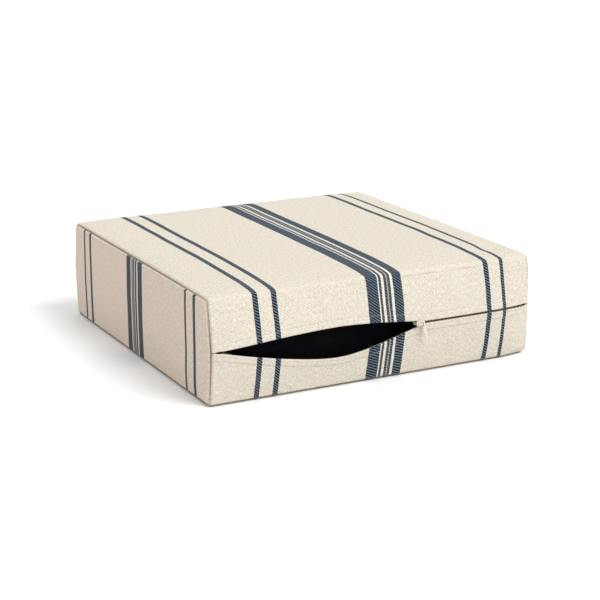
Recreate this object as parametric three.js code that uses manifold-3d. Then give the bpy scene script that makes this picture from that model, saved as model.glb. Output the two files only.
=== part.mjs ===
// A square floor cushion: a striped cover with a zip across its front, and the black-cased
// foam insert inside it. Every sewn panel, zip part and filling is a separate closed solid.
//
// Millimetres, +Z up. +X runs along the zipped front, and the front faces -Y.
// The origin is at the middle of the base.

import * as THREE from 'three';
import Module from 'manifold-3d';
import { mergeVertices } from 'three/addons/utils/BufferGeometryUtils.js';

const wasm = await Module();
wasm.setup();

// Cover, measured on its outer face
const HALF_WIDTH = 250; // middle to side seam, along X
const FOOT_HALF_DEPTH = 245; // middle to the bottom edges, along Y
const CREST_HALF_DEPTH = 242; // middle to the top edges
const SEAM_HEIGHT = 145; // floor to the top edges
const TOP_CROWN = 5; // rise of the top's middle over its edges
const CROWN_POWER = 4; // how flat the crowned top stays before it falls to its edges
const EDGE_SOFTNESS = 8; // length of each side of a rounded edge
const END_BULGE = 7; // swell of the front and back at the side seams
const MIDDLE_BULGE = 15.5; // and over most of their length
const BULGE_POWER = 12; // how late the swell falls off towards the side seams
const SWELL_POWER = 1.3; // the swell is nearly a ridge along mid height, so this is near 1
const SIDE_BULGE = 3; // swell of the side panels
const FABRIC = 2; // cover fabric with its lining
const GAP = 0.3; // clearance between neighbouring pieces

// Mouth of the cover, along the zip
const ZIP_HEIGHT = 75;
const CLOSED_LIP = 1.7; // middle of the zip to each fabric lip, where it is closed
const SEWN_LIP = GAP / 2; // and beyond the zip's ends, where the panels are sewn together
const SEWN_FROM = 242; // where the lips meet, from the middle
const MOUTH_LEFT = -234;
const MOUTH_RIGHT = 70;
const MOUTH_WIDEST = -62;
const UPPER_RISE = 10; // how far the upper lip lifts
const LOWER_DROP = 30.5; // how far the lower lip hangs
const UPPER_POWER = 1.4; // how round each lip is: 1 would be two straight lines, 2 a parabola
const LOWER_POWER = 1.25;

// Zip
const TAPE_THICKNESS = 0.8;
const TAPE_WIDTH = 13;
const TAPE_DEPTH = FABRIC + 0.4; // face of the cover to the tape
const COIL_DEPTH = TAPE_DEPTH + TAPE_THICKNESS + GAP;
const COIL_THICKNESS = 2.2;
const COIL_WIDTH = 2.5;
const COIL_PROUD = 1.4; // how far the coil stands past its lip
const TAPE_END = 238;
const COIL_END = 228;
const STOP_LENGTH = 4;
const STOP_WIDTH = 3.6;
const STOP_THICKNESS = 2.6;

// Slider and pull tab
const SLIDER_X = 60;
const SLIDER_LENGTH = 13;
const SLIDER_WIDTH = 8.4;
const SLIDER_PLATE = 1.2;
const SLIDER_LIFT = 0.8; // face of the cover to the front plate
const SLIDER_REACH = 7; // face of the cover to the back plate
const NECK_LENGTH = 7;
const NECK_WIDTH = 1.8;
const NECK_X = -2; // neck's middle from the slider's
const BRIDGE_LENGTH = 10;
const BRIDGE_HEIGHT = 3.6;
const BRIDGE_BAR = 1.3;
const BRIDGE_WIDTH = 1.5;
const EYE_RADIUS = 2.3;
const EYE_HOLE = 1.3;
const EYE_WIDTH = 1.4;
const EYE_X = 2.7; // eye's middle from the slider's
const TAB_LENGTH = 24; // bridge bar to the tip
const TAB_THICKNESS = 1.3;
const TAB_TOP_HALF = 1;
const TAB_SHOULDER_HALF = 2.5;
const TAB_TIP_HALF = 1.4;
const TAB_LEAN = THREE.MathUtils.degToRad(14);

// Insert: black casing, wadding and foam
const CASING_FABRIC = 1.5;
const CASING_HALF_WIDTH = 240;
const CASING_HALF_DEPTH = 236;
const CASING_BULGE = 12; // swell of its front and back
const CASING_FLOOR = 2.6; // height of its underside
const CASING_HEIGHT = 138;
const CASING_CROWN = 3;
const CASING_CORNER = 10;
const CASING_SEAM = 72; // height of the seam between the casing's two halves
const WADDING = 9;
const WADDING_HALF_DEPTH = 230;
const INSERT_HALF_WIDTH = 232;
const INSERT_CORNER = 12;

const BAR_REACH = SLIDER_LIFT + SLIDER_PLATE + BRIDGE_HEIGHT - BRIDGE_BAR / 2; // face to bridge bar

const CLOTH = { color: 0xe6ddc8, roughness: 0.95, metalness: 0 };
const SIDE_CLOTH = { color: 0xd8ccb8, roughness: 0.95, metalness: 0 };
const TAPE = { color: 0xd9cdb2, roughness: 0.9, metalness: 0 };
const COIL = { color: 0xb9a988, roughness: 0.5, metalness: 0 };
const ENAMEL = { color: 0xeee6d8, roughness: 0.35, metalness: 0.1 };
const CASING = { color: 0x141418, roughness: 0.95, metalness: 0 };
const FIBRE = { color: 0xf4f2ec, roughness: 1, metalness: 0 };
const FOAM = { color: 0xe8dfa8, roughness: 1, metalness: 0 };

// ---------------------------------------------------------------- solids from point rows

/** The same triangles, turned so that the closed body's faces point out. */
function facingOut(points, triangles) {
  let volume = 0;
  const [a, b, c] = [new THREE.Vector3(), new THREE.Vector3(), new THREE.Vector3()];
  for (const [i, j, k] of triangles) {
    volume += a.set(...points[i]).dot(b.set(...points[j]).cross(c.set(...points[k])));
  }
  return volume < 0 ? triangles.map(([i, j, k]) => [i, k, j]) : triangles;
}

function solid(points, triangles) {
  const geometry = new THREE.BufferGeometry();
  geometry.setAttribute('position', new THREE.Float32BufferAttribute(points.flat(), 3));
  geometry.setIndex(facingOut(points, triangles).flat());
  geometry.computeVertexNormals();
  return geometry;
}

/** A sheet with thickness: at each station it runs along an outer and an inner row of points. */
function sheetSolid(stations) {
  const across = stations[0].outer.length;
  const row = 2 * across;
  const points = stations.flatMap(({ outer, inner }) => [...outer, ...inner]);
  const triangles = [];
  const quad = (a, b, c, d) => triangles.push([a, b, c], [a, c, d]);
  for (let s = 0; s + 1 < stations.length; s++) {
    const here = s * row;
    const next = here + row;
    for (let i = 0; i + 1 < across; i++) {
      quad(here + i, here + i + 1, next + i + 1, next + i);
      quad(here + across + i, next + across + i, next + across + i + 1, here + across + i + 1);
    }
    quad(here, next, next + across, here + across);
    const last = across - 1;
    quad(here + last, here + across + last, next + across + last, next + last);
  }
  const end = (stations.length - 1) * row;
  for (let i = 0; i + 1 < across; i++) {
    quad(i, across + i, across + i + 1, i + 1);
    quad(end + i, end + i + 1, end + across + i + 1, end + across + i);
  }
  return solid(points, triangles);
}

/** A stack of closed rings with the same number of points, capped to a point at each end. */
function ringStack(rings, startPoint, endPoint) {
  const around = rings[0].length;
  const points = [...rings.flat(), startPoint, endPoint];
  const triangles = [];
  const start = points.length - 2;
  const end = points.length - 1;
  for (let r = 0; r + 1 < rings.length; r++) {
    for (let i = 0; i < around; i++) {
      const j = (i + 1) % around;
      const [a, b] = [r * around + i, r * around + j];
      triangles.push([a, b, b + around], [a, b + around, a + around]);
    }
  }
  const last = (rings.length - 1) * around;
  for (let i = 0; i < around; i++) {
    const j = (i + 1) % around;
    triangles.push([start, j, i], [end, last + i, last + j]);
  }
  return solid(points, triangles);
}

// ---------------------------------------------------------------- joining with manifold-3d

function toManifold(geometry) {
  const bare = geometry.clone();
  bare.deleteAttribute('normal');
  bare.deleteAttribute('uv');
  const merged = mergeVertices(bare.index ? bare.toNonIndexed() : bare, 1e-4);
  const mesh = new wasm.Mesh({
    numProp: 3,
    vertProperties: new Float32Array(merged.attributes.position.array),
    triVerts: new Uint32Array(merged.index.array),
  });
  return new wasm.Manifold(mesh);
}

function fromManifold(manifold) {
  const mesh = manifold.getMesh();
  const geometry = new THREE.BufferGeometry();
  geometry.setAttribute('position', new THREE.BufferAttribute(mesh.vertProperties, 3));
  geometry.setIndex(new THREE.BufferAttribute(mesh.triVerts, 1));
  geometry.computeVertexNormals();
  return geometry;
}

function joined(...geometries) {
  return fromManifold(geometries.map(toManifold).reduce((all, next) => all.add(next)));
}

// ---------------------------------------------------------------- shape of the cover

function faceBulge(x) {
  const fall = Math.abs(x / HALF_WIDTH) ** BULGE_POWER;
  return END_BULGE + (MIDDLE_BULGE - END_BULGE) * (1 - fall);
}

/** Distance from the middle plane to the outer face of the cover's front or back. */
function faceDepth(x, z) {
  const edgeToEdge = FOOT_HALF_DEPTH + ((CREST_HALF_DEPTH - FOOT_HALF_DEPTH) * z) / SEAM_HEIGHT;
  const height = (2 * z) / SEAM_HEIGHT - 1;
  return edgeToEdge + faceBulge(x) * (1 - Math.abs(height) ** SWELL_POWER);
}

function topHeight(x, y) {
  const alongX = 1 - Math.abs(x / HALF_WIDTH) ** CROWN_POWER;
  const alongY = 1 - Math.abs(y / CREST_HALF_DEPTH) ** CROWN_POWER;
  return SEAM_HEIGHT + TOP_CROWN * alongX * alongY;
}

/** Points from one value to another, both included. */
function spread(from, to, count) {
  return Array.from({ length: count }, (_, i) => from + ((to - from) * i) / (count - 1));
}

/** How open the mouth is at x: 0 outside it, 1 at its widest. */
function mouthShape(x, power) {
  const end = x < MOUTH_WIDEST ? MOUTH_LEFT : MOUTH_RIGHT;
  const inwards = THREE.MathUtils.clamp((x - end) / (MOUTH_WIDEST - end), 0, 1);
  return 1 - (1 - inwards) ** power;
}

/** Half of the slot between the lips where the zip is closed, and almost nothing past its ends. */
function restingLip(x) {
  const closing = THREE.MathUtils.smoothstep(Math.abs(x), TAPE_END, SEWN_FROM);
  return THREE.MathUtils.lerp(CLOSED_LIP, SEWN_LIP, closing);
}

function upperLip(x) {
  return ZIP_HEIGHT + restingLip(x) + UPPER_RISE * mouthShape(x, UPPER_POWER);
}

function lowerLip(x) {
  return ZIP_HEIGHT - restingLip(x) - LOWER_DROP * mouthShape(x, LOWER_POWER);
}

/** A rounded edge between two faces: a quadratic curve that leaves out its own two ends. */
function softEdge(before, edge, after) {
  const curve = new THREE.QuadraticBezierCurve(
    new THREE.Vector2(...before),
    new THREE.Vector2(...edge),
    new THREE.Vector2(...after),
  );
  return [0.25, 0.5, 0.75].map((t) => curve.getPoint(t).toArray());
}

/** The row of points FABRIC inside a section's outer row; the inside is to the row's right. */
function insideRow(row) {
  return row.map(([y, z], i) => {
    if (i === 0 || i === row.length - 1) return [y - FABRIC * Math.sign(y), z];
    const [y0, z0] = row[i - 1];
    const [y1, z1] = row[i + 1];
    const length = Math.hypot(y1 - y0, z1 - z0);
    return [y + (FABRIC * (z1 - z0)) / length, z - (FABRIC * (y1 - y0)) / length];
  });
}

/** Outer row of the upper wrap: up the front from the lip, over the top and down the back. */
function upperSection(x, lip) {
  const shoulder = SEAM_HEIGHT - EDGE_SOFTNESS;
  const rim = CREST_HALF_DEPTH - EDGE_SOFTNESS;
  const front = spread(lip, shoulder, 6).map((z) => [-faceDepth(x, z), z]);
  const top = [-1, -0.93, -0.8, -0.4, 0, 0.4, 0.8, 0.93, 1].map((share) => {
    const y = rim * share;
    return [y, topHeight(x, y)];
  });
  const back = spread(shoulder, EDGE_SOFTNESS, 7).map((z) => [faceDepth(x, z), z]);
  const frontEdge = softEdge(front.at(-1), [-CREST_HALF_DEPTH, SEAM_HEIGHT], top[0]);
  const backEdge = softEdge(top.at(-1), [CREST_HALF_DEPTH, SEAM_HEIGHT], back[0]);
  return [...front, ...frontEdge, ...top, ...backEdge, ...back];
}

/** Outer row of the lower wrap: round the back's foot, under the base and up to the lip. */
function lowerSection(x, lip) {
  const seam = EDGE_SOFTNESS - GAP;
  const rim = FOOT_HALF_DEPTH - EDGE_SOFTNESS;
  const back = [[faceDepth(x, seam), seam]];
  const base = [1, 0.5, 0, -0.5, -1].map((share) => [rim * share, 0]);
  const front = spread(EDGE_SOFTNESS, lip, 6).map((z) => [-faceDepth(x, z), z]);
  const backEdge = softEdge(back[0], [FOOT_HALF_DEPTH, 0], base[0]);
  const frontEdge = softEdge(base.at(-1), [-FOOT_HALF_DEPTH, 0], front[0]);
  return [...back, ...backEdge, ...base, ...frontEdge, ...front];
}

/** Where the cover and zip are sampled along X, closely at the seams and the mouth. */
function stationsWithin(end) {
  const mouth = spread(MOUTH_LEFT, MOUTH_RIGHT, 13);
  const closed = [115, 160, 195, 218];
  const panelEnd = HALF_WIDTH - FABRIC - GAP;
  const ends = [COIL_END, TAPE_END, SEWN_FROM, panelEnd].flatMap((x) => [-x, x]);
  const all = [...mouth, ...closed, ...ends].sort((a, b) => a - b);
  return all.filter((x) => Math.abs(x) <= end);
}

function wrapPanel(section, lip) {
  const stations = stationsWithin(HALF_WIDTH).map((x) => {
    const outer = section(x, lip(x));
    const inner = insideRow(outer);
    const place = ([y, z]) => [x, y, z];
    return { outer: outer.map(place), inner: inner.map(place) };
  });
  return sheetSolid(stations);
}

/** A side panel: the section's whole outline, swelling outwards. side is 1 or -1. */
function sidePanel(side) {
  const upper = upperSection(HALF_WIDTH, ZIP_HEIGHT);
  const lower = lowerSection(HALF_WIDTH, ZIP_HEIGHT).slice(1, -1);
  const outline = [...upper, ...lower];
  const middle = SEAM_HEIGHT / 2;
  const ring = (share, x) => {
    const swell = SIDE_BULGE * (1 - share * share);
    return outline.map(([y, z]) => [side * (x + swell), y * share, middle + (z - middle) * share]);
  };
  const inside = HALF_WIDTH - FABRIC;
  const rings = [
    ring(0.5, inside),
    ring(1, inside),
    ring(1, HALF_WIDTH),
    ring(0.5, HALF_WIDTH),
  ];
  const inner = [side * (inside + SIDE_BULGE), 0, middle];
  const outer = [side * (HALF_WIDTH + SIDE_BULGE), 0, middle];
  return ringStack(rings, inner, outer);
}

// ---------------------------------------------------------------- zip

/** A strip behind the cover's face that follows a lip. up is 1 above the zip, -1 below. */
function stripAlongLip(end, edge, up, width, depth, thickness) {
  const stations = stationsWithin(end).map((x) => {
    const row = (inset) =>
      [0, 1].map((share) => {
        const z = edge(x) + up * share * width;
        return [x, inset - faceDepth(x, z), z];
      });
    return { outer: row(depth), inner: row(depth + thickness) };
  });
  return sheetSolid(stations);
}

function zipTape(up) {
  const lip = up > 0 ? upperLip : lowerLip;
  return stripAlongLip(TAPE_END, lip, up, TAPE_WIDTH, TAPE_DEPTH, TAPE_THICKNESS);
}

function zipCoil(up) {
  const lip = up > 0 ? upperLip : lowerLip;
  const edge = (x) => lip(x) - up * COIL_PROUD;
  return stripAlongLip(COIL_END, edge, up, COIL_WIDTH, COIL_DEPTH, COIL_THICKNESS);
}

/** A small clamp on the tape past the coil's end. */
function zipStop(side, centreHeight, width) {
  const geometry = new THREE.BoxGeometry(STOP_LENGTH, STOP_THICKNESS, width);
  const x = side * (COIL_END + GAP + STOP_LENGTH / 2);
  const y = COIL_DEPTH + STOP_THICKNESS / 2 + 1 - faceDepth(x, ZIP_HEIGHT);
  return { geometry, position: [x, y, centreHeight] };
}

/** A plate of the slider, long side along X, from one depth in front of its origin to another. */
function sliderPlate(near, far) {
  const [halfLength, halfWidth] = [SLIDER_LENGTH / 2, SLIDER_WIDTH / 2];
  const round = halfWidth * 0.7;
  const outline = new THREE.Shape();
  outline.moveTo(-halfLength + round, -halfWidth);
  outline.lineTo(halfLength - round, -halfWidth);
  outline.quadraticCurveTo(halfLength, -halfWidth, halfLength, 0);
  outline.quadraticCurveTo(halfLength, halfWidth, halfLength - round, halfWidth);
  outline.lineTo(-halfLength + round, halfWidth);
  outline.quadraticCurveTo(-halfLength, halfWidth, -halfLength, 0);
  outline.quadraticCurveTo(-halfLength, -halfWidth, -halfLength + round, -halfWidth);
  const plate = new THREE.ExtrudeGeometry(outline, {
    depth: far - near,
    bevelEnabled: false,
    curveSegments: 5,
  });
  return plate.rotateX(Math.PI / 2).translate(0, far, 0);
}

/** The slider: two plates joined by a neck that runs between the lips, and the bridge. */
function sliderBody() {
  const bite = 0.2; // how far joined pieces run into each other
  const front = sliderPlate(-SLIDER_LIFT - SLIDER_PLATE, -SLIDER_LIFT);
  const back = sliderPlate(SLIDER_REACH, SLIDER_REACH + SLIDER_PLATE);
  const neckDepth = SLIDER_LIFT + SLIDER_REACH + 2 * bite;
  const neck = new THREE.BoxGeometry(NECK_LENGTH, neckDepth, NECK_WIDTH);
  neck.translate(NECK_X, (SLIDER_REACH - SLIDER_LIFT) / 2, 0);

  const half = BRIDGE_LENGTH / 2;
  const arch = new THREE.Shape();
  arch.moveTo(-half, -bite);
  arch.lineTo(half, -bite);
  arch.lineTo(half, BRIDGE_HEIGHT - BRIDGE_BAR);
  arch.quadraticCurveTo(half, BRIDGE_HEIGHT, half - BRIDGE_BAR, BRIDGE_HEIGHT);
  arch.lineTo(BRIDGE_BAR - half, BRIDGE_HEIGHT);
  arch.quadraticCurveTo(-half, BRIDGE_HEIGHT, -half, BRIDGE_HEIGHT - BRIDGE_BAR);
  const opening = new THREE.Path();
  const inner = half - BRIDGE_BAR;
  opening.moveTo(-inner, 0);
  opening.lineTo(-inner, BRIDGE_HEIGHT - BRIDGE_BAR);
  opening.lineTo(inner, BRIDGE_HEIGHT - BRIDGE_BAR);
  opening.lineTo(inner, 0);
  arch.holes.push(opening);
  const bridge = new THREE.ExtrudeGeometry(arch, {
    depth: BRIDGE_WIDTH,
    bevelEnabled: false,
    curveSegments: 4,
  });
  bridge.translate(0, 0, -BRIDGE_WIDTH / 2).rotateX(Math.PI);
  bridge.translate(0, -SLIDER_LIFT - SLIDER_PLATE, 0);
  return joined(front, back, neck, bridge);
}

/** The pull tab, hanging from the bridge bar and leaning towards the closed end. */
function pullTab() {
  const ring = new THREE.Shape();
  ring.absarc(0, 0, EYE_RADIUS, 0, 2 * Math.PI);
  const hole = new THREE.Path();
  hole.absarc(0, 0, EYE_HOLE, 0, 2 * Math.PI, true);
  ring.holes.push(hole);
  const eye = new THREE.ExtrudeGeometry(ring, {
    depth: EYE_WIDTH,
    bevelEnabled: false,
    curveSegments: 10,
  });
  eye.translate(0, 0, -EYE_WIDTH / 2).rotateY(Math.PI / 2);

  const top = -(EYE_HOLE + EYE_RADIUS) / 2;
  const shoulder = top - 6;
  const tip = TAB_TIP_HALF - TAB_LENGTH;
  const outline = new THREE.Shape();
  outline.moveTo(-TAB_TOP_HALF, top);
  outline.quadraticCurveTo(-TAB_SHOULDER_HALF, top - 2, -TAB_SHOULDER_HALF, shoulder);
  outline.lineTo(-TAB_TIP_HALF, tip);
  outline.absarc(0, tip, TAB_TIP_HALF, Math.PI, 2 * Math.PI);
  outline.lineTo(TAB_SHOULDER_HALF, shoulder);
  outline.quadraticCurveTo(TAB_SHOULDER_HALF, top - 2, TAB_TOP_HALF, top);
  const blade = new THREE.ExtrudeGeometry(outline, {
    depth: TAB_THICKNESS,
    bevelEnabled: false,
    curveSegments: 6,
  });
  blade.translate(0, 0, -TAB_THICKNESS / 2).rotateX(Math.PI / 2).rotateY(-TAB_LEAN);
  return joined(eye, blade);
}

// ---------------------------------------------------------------- insert

/** A ring of the casing: a rectangle with round corners at height z, grown or shrunk by grow. */
function casingRing(z, grow) {
  const height = (z - CASING_FLOOR) / CASING_HEIGHT;
  const edge = Math.min(z - CASING_FLOOR, CASING_FLOOR + CASING_HEIGHT - z, 8) / 8;
  const tuck = 6 * (1 - edge) ** 2;
  const swell = CASING_BULGE * (1 - (2 * height - 1) ** 2);
  const halfWidth = CASING_HALF_WIDTH - tuck + grow;
  const halfDepth = CASING_HALF_DEPTH - tuck + swell + grow;
  const corner = CASING_CORNER + grow;
  const ring = [];
  for (let quarter = 0; quarter < 4; quarter++) {
    const [signX, signY] = [quarter === 1 || quarter === 2 ? -1 : 1, quarter < 2 ? 1 : -1];
    for (const step of spread(0, Math.PI / 2, 5)) {
      const angle = (quarter * Math.PI) / 2 + step;
      const x = signX * (halfWidth - corner) + corner * Math.cos(angle);
      const y = signY * (halfDepth - corner) + corner * Math.sin(angle);
      ring.push([x, y, z]);
    }
  }
  return ring;
}

/** Half of the casing, a shallow pan. up is 1 for the upper half, -1 for the lower. */
function casingHalf(up) {
  const rim = CASING_SEAM + (up * GAP) / 2;
  const outerEnd = up > 0 ? CASING_FLOOR + CASING_HEIGHT : CASING_FLOOR;
  const crown = up > 0 ? CASING_CROWN : 0;
  const walls = spread(rim, outerEnd - up * 8, 3);
  const outerHeights = [...walls, outerEnd - up * 3, outerEnd];
  const innerEnd = outerEnd - up * CASING_FABRIC;
  const outer = outerHeights.map((z) => casingRing(z, 0));
  const inner = outerHeights.map((z) => casingRing(z, -CASING_FABRIC));
  const innerEdge = casingRing(outerEnd, -2 * CASING_FABRIC).map(([x, y]) => [x, y, innerEnd]);
  inner.splice(-1, 1, innerEdge);
  const shrunk = (ring, share, z) => ring.map(([x, y]) => [x * share, y * share, z]);
  const outerFace = shrunk(outer.at(-1), 0.8, outerEnd + 0.8 * crown);
  const innerFace = shrunk(inner.at(-1), 0.8, innerEnd + 0.8 * crown);
  const rings = [innerFace, ...inner.reverse(), ...outer, outerFace];
  return ringStack(rings, [0, 0, innerEnd + crown], [0, 0, outerEnd + crown]);
}

/** A rectangle with round corners in the YZ plane. */
function roundedRectangle(ShapeClass, halfDepth, low, high, corner) {
  const shape = new ShapeClass();
  shape.moveTo(halfDepth - corner, low);
  shape.absarc(halfDepth - corner, low + corner, corner, -Math.PI / 2, 0);
  shape.absarc(halfDepth - corner, high - corner, corner, 0, Math.PI / 2);
  shape.absarc(corner - halfDepth, high - corner, corner, Math.PI / 2, Math.PI);
  shape.absarc(corner - halfDepth, low + corner, corner, Math.PI, 1.5 * Math.PI);
  return shape;
}

/** Extrudes a shape drawn in YZ along X, centred on the middle plane. */
function extrudeAlongX(shape, halfLength) {
  const geometry = new THREE.ExtrudeGeometry(shape, {
    depth: 2 * halfLength,
    bevelEnabled: false,
    curveSegments: 5,
  });
  // The shape's own x becomes Y, its y becomes Z and its depth becomes X.
  const turn = new THREE.Matrix4().makeBasis(
    new THREE.Vector3(0, 1, 0),
    new THREE.Vector3(0, 0, 1),
    new THREE.Vector3(1, 0, 0),
  );
  return geometry.applyMatrix4(turn).translate(-halfLength, 0, 0);
}

const WADDING_LOW = CASING_FLOOR + CASING_FABRIC + 2 * GAP;
const WADDING_HIGH = CASING_FLOOR + CASING_HEIGHT - CASING_FABRIC - 2 * GAP;

/** Wadding wrapped once round the foam, open at both sides. */
function fibreWrap() {
  const [low, high] = [WADDING_LOW, WADDING_HIGH];
  const outline = roundedRectangle(THREE.Shape, WADDING_HALF_DEPTH, low, high, INSERT_CORNER);
  const hole = roundedRectangle(
    THREE.Path,
    WADDING_HALF_DEPTH - WADDING,
    low + WADDING,
    high - WADDING,
    INSERT_CORNER - WADDING / 2,
  );
  outline.holes.push(hole);
  return extrudeAlongX(outline, INSERT_HALF_WIDTH);
}

function foamCore() {
  const inset = WADDING + GAP;
  const outline = roundedRectangle(
    THREE.Shape,
    WADDING_HALF_DEPTH - inset,
    WADDING_LOW + inset,
    WADDING_HIGH - inset,
    INSERT_CORNER - WADDING / 2,
  );
  return extrudeAlongX(outline, INSERT_HALF_WIDTH);
}

// ---------------------------------------------------------------- the cushion

const cushion = new THREE.Group();
cushion.name = 'floor_cushion';

// Everything is drawn about the middle of the cover. The pull's eye stands out at the front only,
// so the whole moves back, to put the origin in the middle of the base.
const frontReach = faceDepth(SLIDER_X, ZIP_HEIGHT) + BAR_REACH + EYE_RADIUS;
const backReach = faceDepth(0, SEAM_HEIGHT / 2);
const drawn = new THREE.Group();
drawn.position.y = (frontReach - backReach) / 2;
cushion.add(drawn);

function add(name, geometry, finish, position = [0, 0, 0]) {
  const mesh = new THREE.Mesh(geometry, new THREE.MeshStandardMaterial(finish));
  mesh.name = name;
  mesh.position.set(...position);
  drawn.add(mesh);
}

add('top_panel', wrapPanel(upperSection, upperLip), CLOTH);
add('bottom_panel', wrapPanel(lowerSection, lowerLip), CLOTH);
add('left_side_panel', sidePanel(-1), SIDE_CLOTH);
add('right_side_panel', sidePanel(1), SIDE_CLOTH);

add('upper_zip_tape', zipTape(1), TAPE);
add('lower_zip_tape', zipTape(-1), TAPE);
add('upper_zip_coil', zipCoil(1), COIL);
add('lower_zip_coil', zipCoil(-1), COIL);

const stopOffset = STOP_WIDTH / 2 + GAP;
const upperStop = zipStop(-1, ZIP_HEIGHT + stopOffset, STOP_WIDTH);
const lowerStop = zipStop(-1, ZIP_HEIGHT - stopOffset, STOP_WIDTH);
const endStop = zipStop(1, ZIP_HEIGHT, 2 * STOP_WIDTH);
add('upper_top_stop', upperStop.geometry, ENAMEL, upperStop.position);
add('lower_top_stop', lowerStop.geometry, ENAMEL, lowerStop.position);
add('bottom_stop', endStop.geometry, ENAMEL, endStop.position);

const sliderFace = -faceDepth(SLIDER_X, ZIP_HEIGHT);
add('zip_slider', sliderBody(), ENAMEL, [SLIDER_X, sliderFace, ZIP_HEIGHT]);
add('zip_pull_tab', pullTab(), ENAMEL, [SLIDER_X + EYE_X, sliderFace - BAR_REACH, ZIP_HEIGHT]);

add('casing_upper', casingHalf(1), CASING);
add('casing_lower', casingHalf(-1), CASING);
add('fibre_wrap', fibreWrap(), FIBRE);
add('foam_core', foamCore(), FOAM);

export default cushion;
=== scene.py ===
"""Looks of the square floor cushion: striped twill cover, part-open zip and black-cased insert.

Shapes are worked out in millimetres about the middle of the cover, as the CAD model's are, and
are placed in the frame in metres.
"""

import math

import bmesh
import bpy
import numpy as np
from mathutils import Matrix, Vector


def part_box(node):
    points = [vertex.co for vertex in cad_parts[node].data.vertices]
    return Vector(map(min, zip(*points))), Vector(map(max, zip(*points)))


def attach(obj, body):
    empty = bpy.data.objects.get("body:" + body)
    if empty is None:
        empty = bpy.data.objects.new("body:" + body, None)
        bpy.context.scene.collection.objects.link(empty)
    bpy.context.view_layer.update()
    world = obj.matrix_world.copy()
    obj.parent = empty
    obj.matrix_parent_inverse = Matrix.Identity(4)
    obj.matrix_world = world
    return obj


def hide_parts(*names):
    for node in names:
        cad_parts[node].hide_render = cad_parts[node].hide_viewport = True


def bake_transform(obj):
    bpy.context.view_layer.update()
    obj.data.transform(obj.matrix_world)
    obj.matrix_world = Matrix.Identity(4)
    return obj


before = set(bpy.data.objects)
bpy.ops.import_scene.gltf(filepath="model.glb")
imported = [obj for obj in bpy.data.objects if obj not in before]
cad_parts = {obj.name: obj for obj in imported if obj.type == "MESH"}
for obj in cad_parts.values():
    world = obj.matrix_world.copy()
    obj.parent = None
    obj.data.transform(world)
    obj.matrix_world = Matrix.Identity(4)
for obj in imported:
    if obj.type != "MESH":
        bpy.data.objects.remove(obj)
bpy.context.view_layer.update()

MM = 0.001

# ---------------------------------------------------------------- sizes, from the CAD frame

top_low, top_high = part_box("top_panel")
_, side_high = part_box("right_side_panel")
stop_low, stop_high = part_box("bottom_stop")

MIDDLE_Y = (top_low.y + top_high.y) / 2
ZIP_HEIGHT = (stop_low.z + stop_high.z) / 2 / MM
SEAM_HEIGHT = side_high.z / MM
TOP_CROWN = top_high.z / MM - SEAM_HEIGHT

# Shape of the cover in mm. Its edges are the CAD model's. The swells, the softness of the edges
# and the curve of the lips are close to the CAD model's, and are set here for looks.
HALF_WIDTH = 250.0
FOOT_HALF_DEPTH = 245.0  # half the depth at the floor
CREST_HALF_DEPTH = 242.0  # and at the top edges
# A crown with a higher power is flatter in its middle and steeper at its rim
CROWN_FRONT_POWER, CROWN_BACK_POWER, CROWN_SIDE_POWER = 4, 16, 12
FRONT_SOFTNESS, FRONT_END_SOFTNESS = 5.0, 15.0  # of the front edges, and at their right ends
SOFT_END_FROM = 205.0  # where the front edges start to soften towards the right
BACK_SOFTNESS = 5.0
MIDDLE_BULGE = 15.0  # how far the front and back swell past the line between their edges
LEFT_BULGE, LEFT_POWER = 7.0, 12  # and at the left seam, and how late the swell falls to that
RIGHT_BULGE, RIGHT_POWER = 2.0, 8
SWELL_POWER = 1.3  # the swell's shape from the foot to the top
SIDE_BULGE = 0.4
MOUTH_LEFT, MOUTH_WIDEST, MOUTH_RIGHT = -233.0, -62.0, 68.0
UPPER_RISE, UPPER_POWER = 10.0, 1.4  # of the upper lip, and how early it rises
LOWER_DROP, LOWER_POWER = 30.5, 1.25
MOUTH_ROUNDING = 0.22  # how far the lips' turn at the widest place reaches, as a share of a lip

# Sewing and cloth
SEAM_X = 247.5  # side seams, from the middle
SEAM_DIP = 2.6  # how far both cloths turn in at a seam
SEAM_ROLL = 4.6  # over this width
CLOSED_LIP = 1.4  # middle of the closed zip to a lip
SEWN_LIP = 0.3  # and where the cloths are sewn together past the zip's ends
TAPE_END, SEWN_FROM = 238.0, 243.0
FOOT_LIFT = 1.6  # how far the base's front edge curls up off the floor
CREASE_DROP = 1.5  # end of the front's flat part to a pressed crease, right of the band
CREASE_FROM, CREASE_TO = 34.0, 190.0
CREASE_DEPTH, CREASE_WIDTH = 0.7, 0.9
BROAD_WAVE_CELL, BROAD_WAVE = 90, 0.45  # spacing and height of the cloth's slow waves
SMALL_WAVE_CELL, SMALL_WAVE = 36, 0.25
CLOTH = 1.5  # thickness of the cover cloth
HEM_CLOTH = 2.6  # and of its fold at the zip
UPPER_HEM = 9.5  # lip to the row of stitches, above the zip
LOWER_HEM = 11.0  # and below it

# Where the stripes lie across the cloth, in mm from the middle
STRIPE = 7.2
TOP_THIN_STRIPES = (-183.0, -155.0, 172.5, 199.5)
TOP_BAND = (-18.0, 36.3)
LEAN = 3.0  # how far the stripes drift to the right from the front of the top to its back
SIDE_THIN_STRIPES = (-206.0, -178.0, 175.0, 199.0)
SIDE_BAND = (-29.0, 29.0)
BAND_THREADS = (  # end of each stripe of the band as a share of its width, and its colour
    (0.296, "navy"),
    (0.360, "white"),
    (0.434, "charcoal"),
    (0.489, "white"),
    (0.552, "charcoal"),
    (0.596, "pale"),
    (0.622, "charcoal"),
    (0.639, "pale"),
    (0.664, "charcoal"),
    (0.684, "pale"),
    (0.729, "white"),
    (1.0, "navy"),
)

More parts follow.
